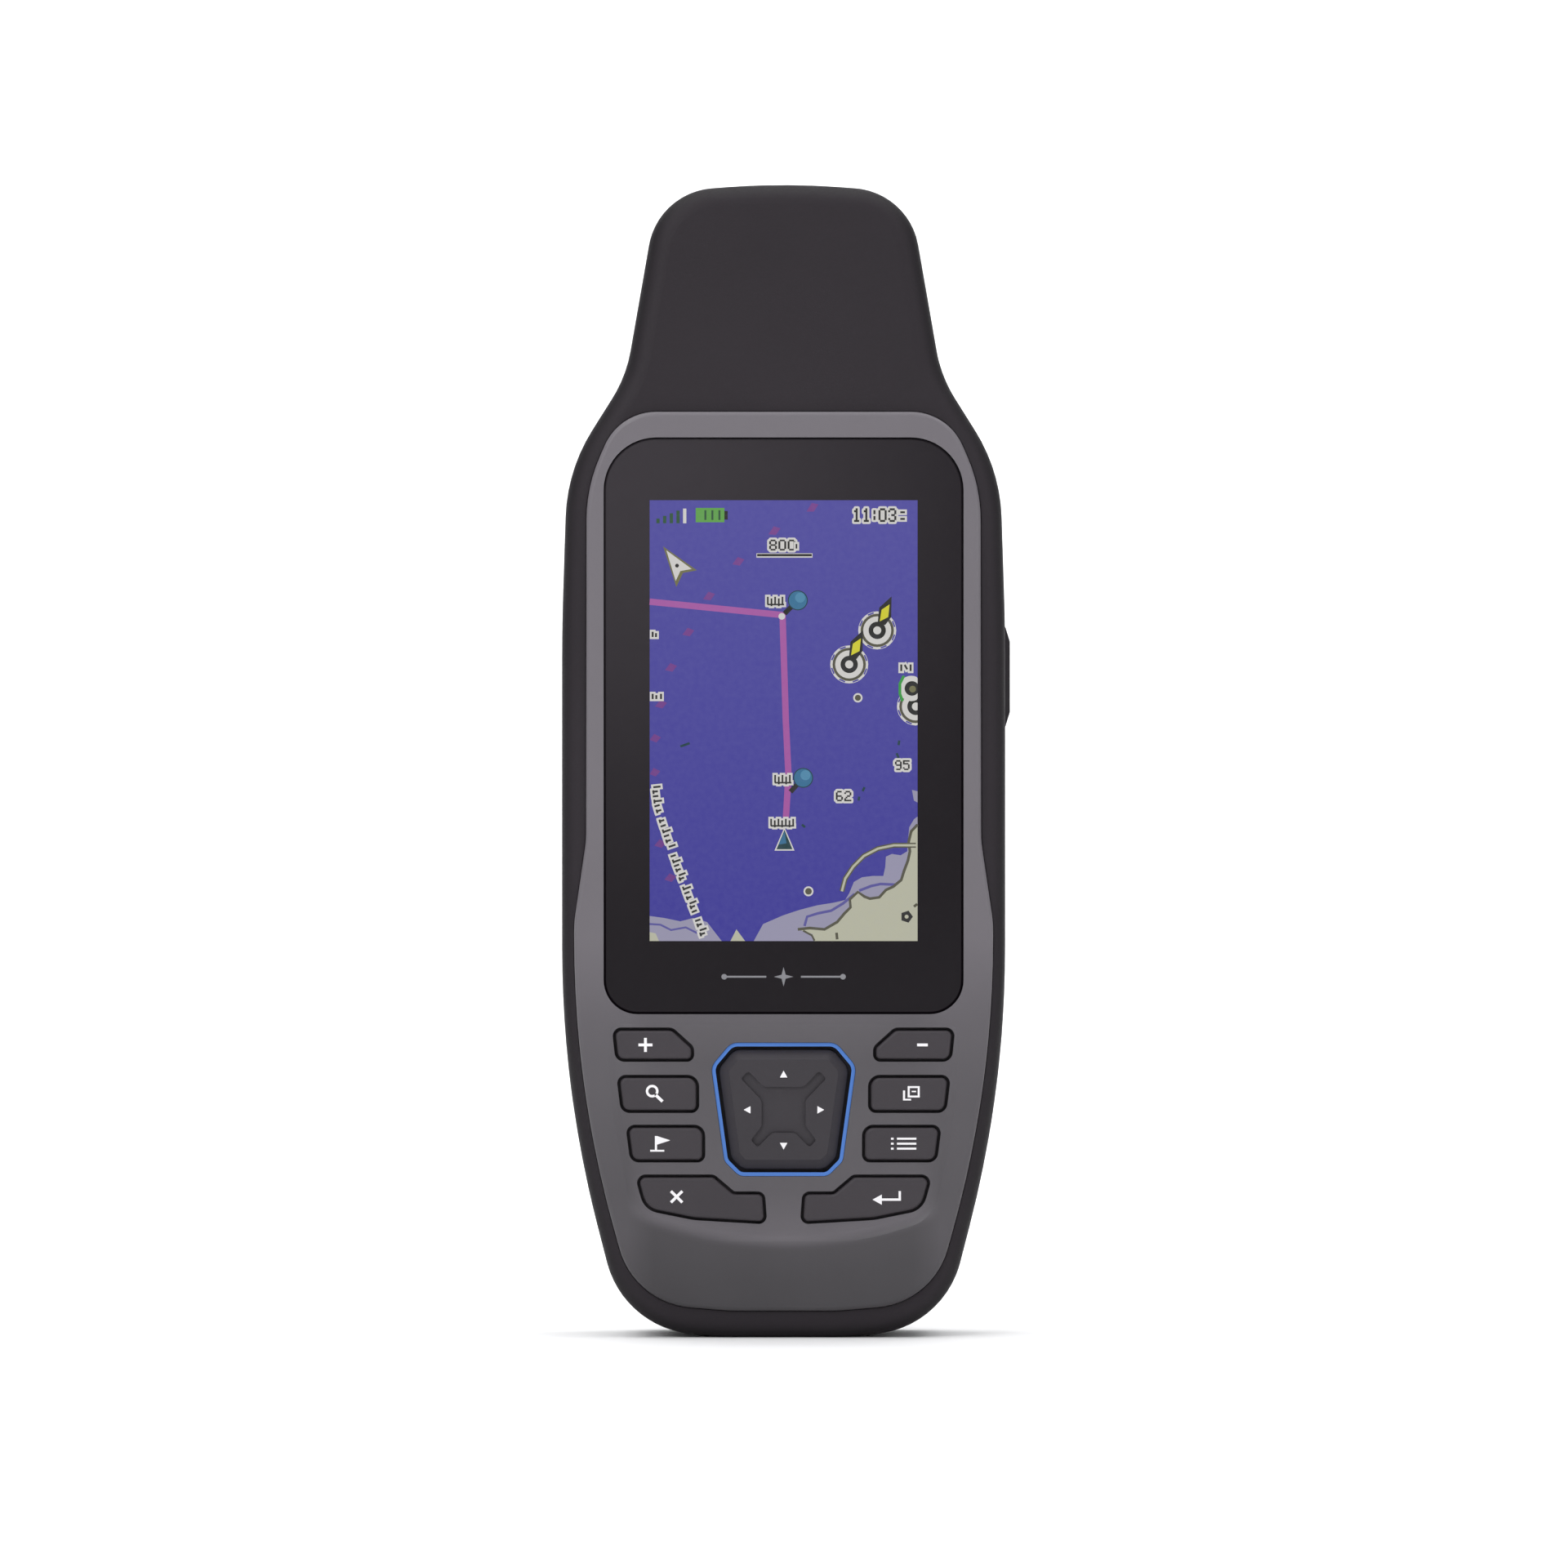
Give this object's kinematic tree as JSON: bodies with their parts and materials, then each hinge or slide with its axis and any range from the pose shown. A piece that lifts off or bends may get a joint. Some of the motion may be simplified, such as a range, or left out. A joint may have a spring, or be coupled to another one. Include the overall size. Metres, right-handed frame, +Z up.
{
  "type": "handheld satellite navigator",
  "caption": "Upright handheld satellite navigator with an aerial hood, large colour display, key groups round a four-way rocker, side power button, port cap and latched battery door.",
  "frame": {"origin": "middle of the flat foot, under the middle of the body's depth", "axes": "+X to the right of the display, +Y from the display to the back, +Z up towards the aerial hood"},
  "size_m": [0.0673, 0.0351, 0.1735],
  "materials": {
    "case_plastic": "fine-grained matt",
    "seal_rubber": "smooth",
    "plate_paint": "satin paint",
    "lens_glass": "polished",
    "lcd_glass": "smooth",
    "diffuser": "satin",
    "tray_steel": "stamped",
    "key_rubber": "fine matt",
    "mat_rubber": "fine matt",
    "dome_steel": "stamped",
    "board_green": "solder mask",
    "ring_blue": "satin",
    "rocker_rubber": "fine matt",
    "inner_plastic": "moulded",
    "button_rubber": "fine matt",
    "shield_tin": "tinned",
    "cell_steel": "plated",
    "ceramic": "fired",
    "aerial_copper": "plated",
    "spring_steel": "nickel plated",
    "cell_left": "printed sleeve",
    "cell_right": "printed sleeve",
    "latch_steel": "satin",
    "screw_steel": "black zinc"
  },
  "bodies": {
    "case": {"front_shell": "case_plastic", "rear_shell": "case_plastic", "shell_seal": "seal_rubber", "face_plate": "plate_paint", "display_lens": "lens_glass", "lens_gasket": "seal_rubber", "lcd_panel": "lcd_glass", "lcd_backlight": "diffuser", "lcd_frame": "tray_steel", "key_domes": "dome_steel", "keypad_mat": "mat_rubber", "keypad_board": "board_green", "rocker_ring": "ring_blue", "rocker_post": "inner_plastic", "power_switch": "inner_plastic", "main_board": "board_green", "radio_shield": "shield_tin", "logic_shield": "shield_tin", "buzzer": "inner_plastic", "card_slot": "shield_tin", "backup_cell": "cell_steel", "port_carrier": "board_green", "data_port": "tray_steel", "aerial_board": "board_green", "aerial_core": "ceramic", "aerial_bands": "aerial_copper", "battery_left": "cell_left", "battery_right": "cell_right", "battery_springs": "spring_steel", "battery_contacts": "spring_steel", "door_seal": "seal_rubber", "case_screws": "screw_steel", "board_screws": "screw_steel"},
    "key_zoom_in": {"key_zoom_in": "key_rubber"},
    "key_zoom_out": {"key_zoom_out": "key_rubber"},
    "key_find": {"key_find": "key_rubber"},
    "key_page": {"key_page": "key_rubber"},
    "key_mark": {"key_mark": "key_rubber"},
    "key_menu": {"key_menu": "key_rubber"},
    "key_quit": {"key_quit": "key_rubber"},
    "key_enter": {"key_enter": "key_rubber"},
    "rocker": {"rocker_pad": "rocker_rubber"},
    "rocker_cross": {"rocker_pivot": "inner_plastic"},
    "power": {"power_button": "button_rubber"},
    "cap": {"port_cap": "seal_rubber"},
    "door": {"battery_door": "case_plastic"},
    "latch": {"latch_screw": "latch_steel"},
    "loop": {"d_ring": "latch_steel"}
  },
  "joints": [
    {"name": "zoom_in_press", "type": "slide", "parent": "case", "child": "key_zoom_in", "axis": [0, 1, 0], "range_m": [0, 0.0005], "stiffness_N_per_m": 1500},
    {"name": "zoom_out_press", "type": "slide", "parent": "case", "child": "key_zoom_out", "axis": [0, 1, 0], "range_m": [0, 0.0005], "stiffness_N_per_m": 1500},
    {"name": "find_press", "type": "slide", "parent": "case", "child": "key_find", "axis": [0, 1, 0], "range_m": [0, 0.0005], "stiffness_N_per_m": 1500},
    {"name": "page_press", "type": "slide", "parent": "case", "child": "key_page", "axis": [0, 1, 0], "range_m": [0, 0.0005], "stiffness_N_per_m": 1500},
    {"name": "mark_press", "type": "slide", "parent": "case", "child": "key_mark", "axis": [0, 1, 0], "range_m": [0, 0.0005], "stiffness_N_per_m": 1500},
    {"name": "menu_press", "type": "slide", "parent": "case", "child": "key_menu", "axis": [0, 1, 0], "range_m": [0, 0.0005], "stiffness_N_per_m": 1500},
    {"name": "quit_press", "type": "slide", "parent": "case", "child": "key_quit", "axis": [0, 1, 0], "range_m": [0, 0.0005], "stiffness_N_per_m": 1500},
    {"name": "enter_press", "type": "slide", "parent": "case", "child": "key_enter", "axis": [0, 1, 0], "range_m": [0, 0.0005], "stiffness_N_per_m": 1500},
    {"name": "rocker_up_down", "type": "hinge", "parent": "case", "child": "rocker_cross", "pos_m": [0, -0.01225, 0.0346], "axis": [1, 0, 0], "range_deg": [-2.5, 2.5], "stiffness_Nm_per_rad": 0.3},
    {"name": "rocker_left_right", "type": "hinge", "parent": "rocker_cross", "child": "rocker", "pos_m": [0, -0.01225, 0.0346], "axis": [0, 0, 1], "range_deg": [-2.5, 2.5], "stiffness_Nm_per_rad": 0.3},
    {"name": "power_press", "type": "slide", "parent": "case", "child": "power", "axis": [-1, 0, 0], "range_m": [0, 0.0005], "stiffness_N_per_m": 1500},
    {"name": "door_lift_off", "type": "slide", "parent": "case", "child": "door", "axis": [0, 1, 0], "range_m": [0, 0.025]},
    {"name": "latch_turn", "type": "hinge", "parent": "door", "child": "latch", "pos_m": [0, 0.0148, 0.016], "axis": [0, 1, 0], "range_deg": [0, 90]},
    {"name": "d_ring_fold", "type": "hinge", "parent": "latch", "child": "loop", "pos_m": [0, 0.0166, 0.016], "axis": [1, 0, 0], "range_deg": [0, 180]},
    {"name": "cap_swing", "type": "hinge", "parent": "case", "child": "cap", "pos_m": [-0.0186, 0.01475, 0.1068], "axis": [1, 0, 0], "range_deg": [0, 95]}
  ]
}
